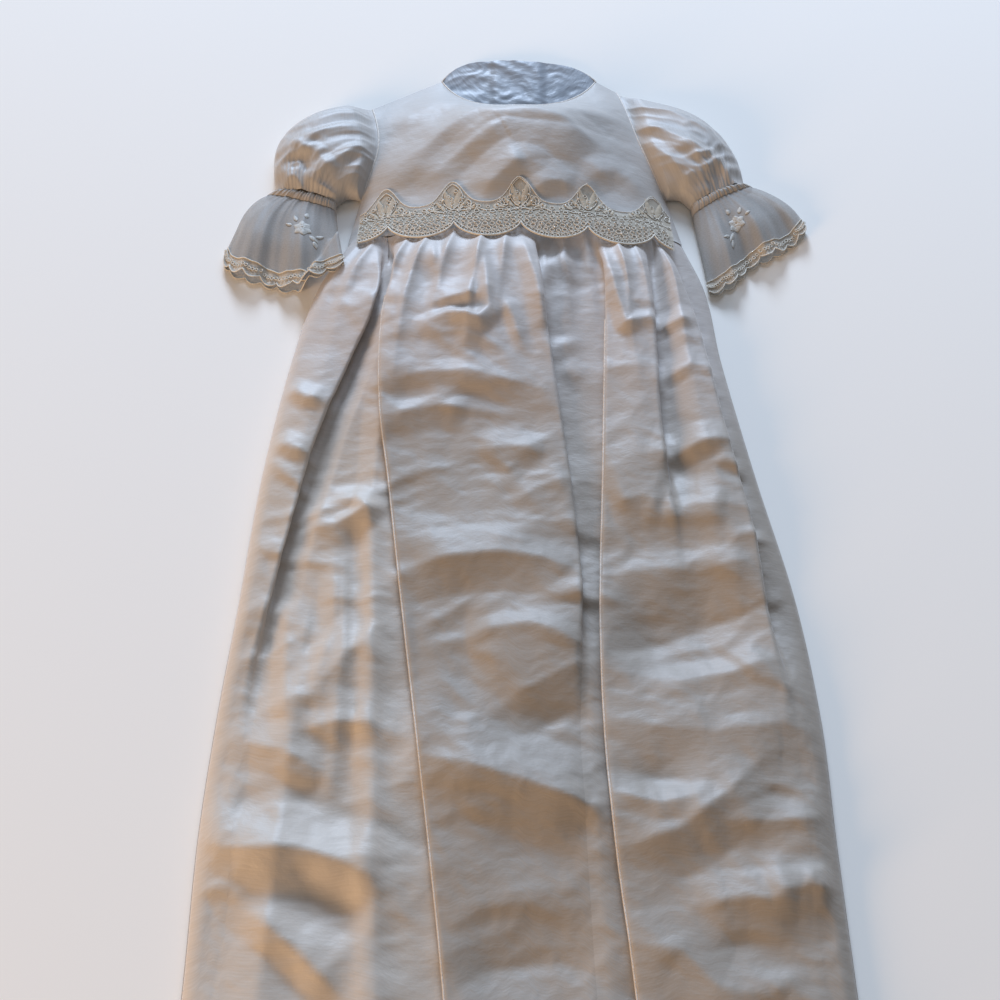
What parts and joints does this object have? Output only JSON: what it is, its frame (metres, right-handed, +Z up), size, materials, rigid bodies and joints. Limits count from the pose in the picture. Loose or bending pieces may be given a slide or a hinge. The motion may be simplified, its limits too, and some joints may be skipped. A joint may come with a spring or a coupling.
{
  "type": "christening gown",
  "caption": "Long gathered christening gown with a short bodice, puffed sleeves ending in sheer ruffles, and a corded lace waist, lying flat on its back.",
  "frame": {"origin": "middle of the footprint, on the surface that the gown lies on", "axes": "+X to the right side as seen from above, +Y from the hem to the neck, +Z up out of the surface"},
  "size_m": [0.4306, 0.8876, 0.04],
  "materials": {
    "silk": "crisp slubbed silk, soft sheen",
    "organza": "sheer organza",
    "edging_lace": "scalloped edging lace",
    "corded_lace": "corded lace on net",
    "satin": "shiny satin lining"
  },
  "bodies": {
    "root": {"skirt_front": "silk", "skirt_back": "silk", "bodice_front": "silk", "bodice_back_left": "silk", "bodice_back_right": "silk", "lining_back": "satin", "sleeve_left": "silk", "sleeve_right": "silk", "cuff_left": "organza", "cuff_right": "organza", "cuff_lace_left": "edging_lace", "cuff_lace_right": "edging_lace", "waist_lace": "corded_lace"}
  },
  "joints": []
}
